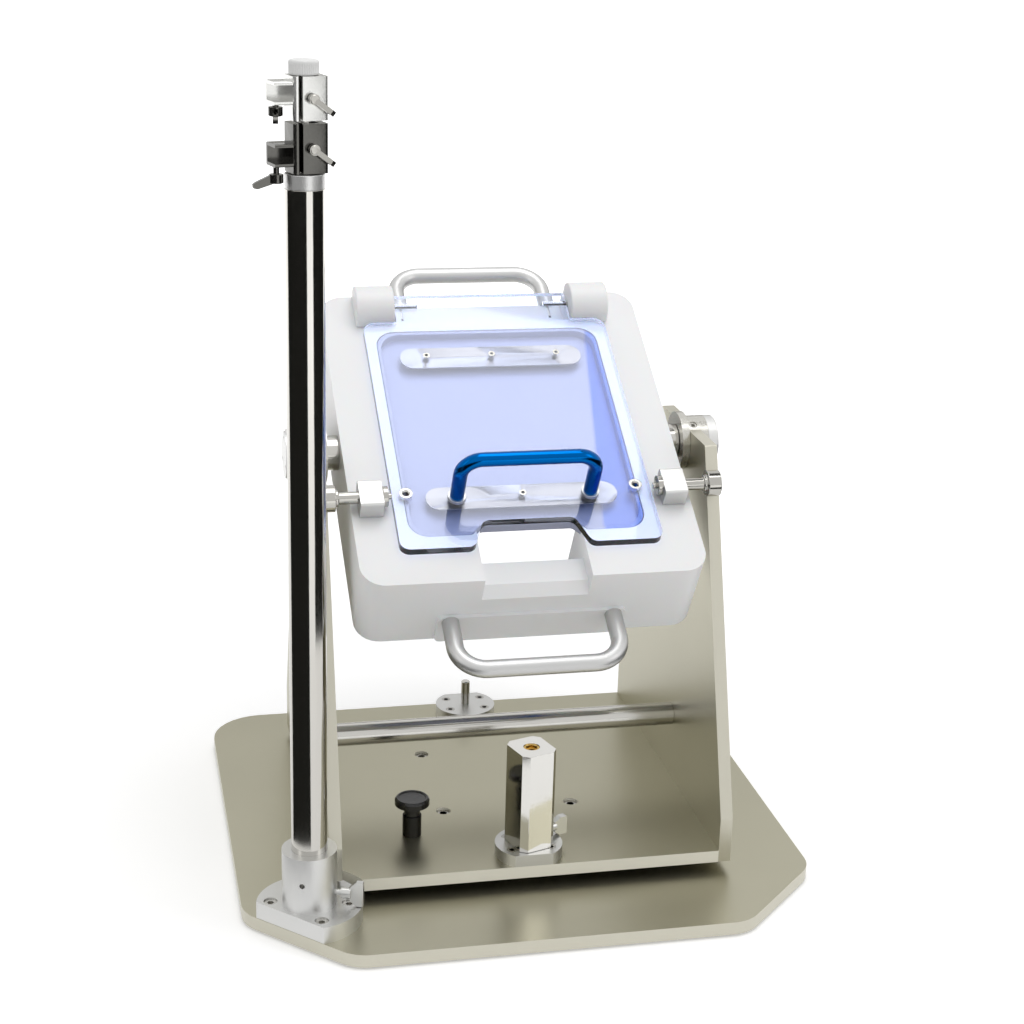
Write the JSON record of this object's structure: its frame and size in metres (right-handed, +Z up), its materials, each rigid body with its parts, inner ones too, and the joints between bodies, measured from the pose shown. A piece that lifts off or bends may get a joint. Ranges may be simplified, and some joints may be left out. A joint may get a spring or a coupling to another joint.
{
  "type": "tilting laboratory tank stand",
  "caption": "Tray frame with a hinged clear lid, tilting between two side plates on an indexed turntable base beside a column with rod clamps.",
  "frame": {"origin": "centre of the base plate's outline at the height of the rubber feet's undersides", "axes": "+Z up, -Y towards the side with the finger trough and the post, +X to the right seen from there"},
  "size_m": [0.57, 0.541, 0.8132],
  "materials": {
    "plates": "satin anodised, champagne",
    "bright_aluminium": "satin, bead blasted",
    "steel": "polished stainless steel",
    "dark_steel": "polished, reflecting dark surroundings",
    "screws": "zinc plated",
    "nickel": "nickel plated, bright",
    "brass": "turned",
    "white_plastic": "milky white, satin",
    "blue_tray": "vivid blue",
    "clear_lid": "clear plastic sheet with violet-blue edges",
    "blue_anodised": "blue anodised, satin",
    "black_plastic": "black, glossy",
    "black_steel": "black oxide",
    "white_knob": "white, knurled",
    "rubber": "matt black"
  },
  "bodies": {
    "stand": {"base_plate": "plates", "rubber_feet": "rubber", "turntable_base": "bright_aluminium", "turntable_base_screws": "screws", "column_flange": "bright_aluminium", "column_flange_screws": "screws", "column_tube": "dark_steel", "column_cap": "bright_aluminium", "top_rod": "steel"},
    "yoke": {"turntable_top": "bright_aluminium", "yoke_floor_plate": "plates", "yoke_floor_screws": "screws", "yoke_side_plate_left": "plates", "yoke_side_plate_right": "plates", "yoke_side_screws": "screws", "cross_rod": "steel", "cross_rod_screws": "screws", "index_plunger_sleeve": "black_steel", "front_foot": "bright_aluminium", "rear_foot": "bright_aluminium", "foot_screws": "screws", "front_spigot": "steel", "rear_spigot": "steel", "trunnion_housings": "plates", "trunnion_set_screws": "screws", "trunnion_end_caps": "bright_aluminium"},
    "index_plunger": {"index_plunger_knob": "black_plastic", "index_plunger_pin": "steel"},
    "post": {"post_block": "nickel", "post_insert": "brass"},
    "post_wing": {"post_wing_screw": "bright_aluminium"},
    "tank": {"trunnion_shafts": "steel", "tank_frame": "white_plastic", "gel_tray": "blue_tray", "hinge_block_left": "white_plastic", "hinge_block_right": "white_plastic", "hinge_pins": "steel", "latch_blocks": "steel", "latch_bushes": "steel", "front_handle": "bright_aluminium", "rear_handle": "bright_aluminium"},
    "lid": {"lid_plate": "clear_lid", "lid_rear_strip": "steel", "lid_front_strip": "steel", "lid_strip_screws": "screws", "lid_handle": "blue_anodised", "lid_handle_ferrules": "steel", "lid_pin_inserts": "steel"},
    "latch_left": {"latch_pin_left": "steel"},
    "latch_right": {"latch_pin_right": "steel"},
    "column_thumb": {"column_thumb_screw": "bright_aluminium"},
    "lower_clamp": {"lower_clamp_body": "dark_steel"},
    "lower_rod_wing": {"lower_clamp_rod_screw": "steel"},
    "lower_jaw_wing": {"lower_clamp_jaw_screw": "dark_steel"},
    "upper_clamp": {"upper_clamp_body": "bright_aluminium"},
    "upper_rod_wing": {"upper_clamp_rod_screw": "steel"},
    "upper_jaw_wing": {"upper_clamp_jaw_screw": "dark_steel"},
    "knob": {"top_knob": "white_knob"}
  },
  "joints": [
    {"name": "swivel", "type": "hinge", "parent": "stand", "child": "yoke", "pos_m": [0, 0.025, 0.02], "axis": [0, 0, 1], "range_deg": [-60, 60]},
    {"name": "index_plunger_slide", "type": "slide", "parent": "yoke", "child": "index_plunger", "axis": [0, 0, 1], "range_m": [-0.007, 0]},
    {"name": "post_turn", "type": "hinge", "parent": "yoke", "child": "post", "pos_m": [0, -0.143, 0.06], "axis": [0, 0, 1], "continuous": true},
    {"name": "post_wing_turn", "type": "hinge", "parent": "post", "child": "post_wing", "pos_m": [0, -0.143, 0.0595], "axis": [0.9511, 0.309, 0], "continuous": true},
    {"name": "tilt", "type": "hinge", "parent": "yoke", "child": "tank", "pos_m": [0, 0.025, 0.407], "axis": [1, 0, 0], "range_deg": [-60, 1]},
    {"name": "lid_hinge", "type": "hinge", "parent": "tank", "child": "lid", "pos_m": [0, 0.15671, 0.52196], "axis": [-1, 0, 0], "range_deg": [0, 100]},
    {"name": "latch_left_slide", "type": "slide", "parent": "tank", "child": "latch_left", "axis": [1, 0, 0], "range_m": [0, 0.01]},
    {"name": "latch_right_slide", "type": "slide", "parent": "tank", "child": "latch_right", "axis": [-1, 0, 0], "range_m": [0, 0.01]},
    {"name": "column_thumb_turn", "type": "hinge", "parent": "stand", "child": "column_thumb", "pos_m": [-0.223, -0.1945, 0.0453], "axis": [0.9397, -0.342, 0], "continuous": true},
    {"name": "lower_clamp_turn", "type": "hinge", "parent": "stand", "child": "lower_clamp", "pos_m": [-0.223, -0.1945, 0.7204], "axis": [0, 0, 1], "continuous": true},
    {"name": "lower_rod_wing_turn", "type": "hinge", "parent": "lower_clamp", "child": "lower_rod_wing", "pos_m": [-0.21733, -0.2069, 0.7409], "axis": [0.2419, -0.9703, 0], "continuous": true},
    {"name": "lower_jaw_wing_turn", "type": "hinge", "parent": "lower_clamp", "child": "lower_jaw_wing", "pos_m": [-0.24726, -0.20261, 0.726], "axis": [0, 0, -1], "range_deg": [-85, 100]},
    {"name": "upper_clamp_turn", "type": "hinge", "parent": "stand", "child": "upper_clamp", "pos_m": [-0.223, -0.1945, 0.7639], "axis": [0, 0, 1], "continuous": true},
    {"name": "upper_rod_wing_turn", "type": "hinge", "parent": "upper_clamp", "child": "upper_rod_wing", "pos_m": [-0.21733, -0.2069, 0.7819], "axis": [0.2419, -0.9703, 0], "continuous": true},
    {"name": "upper_jaw_wing_turn", "type": "hinge", "parent": "upper_clamp", "child": "upper_jaw_wing", "pos_m": [-0.24726, -0.20261, 0.7765], "axis": [0, 0, -1], "range_deg": [-20, 160]},
    {"name": "knob_turn", "type": "hinge", "parent": "stand", "child": "knob", "pos_m": [-0.223, -0.1945, 0.8009], "axis": [0, 0, 1], "continuous": true}
  ]
}
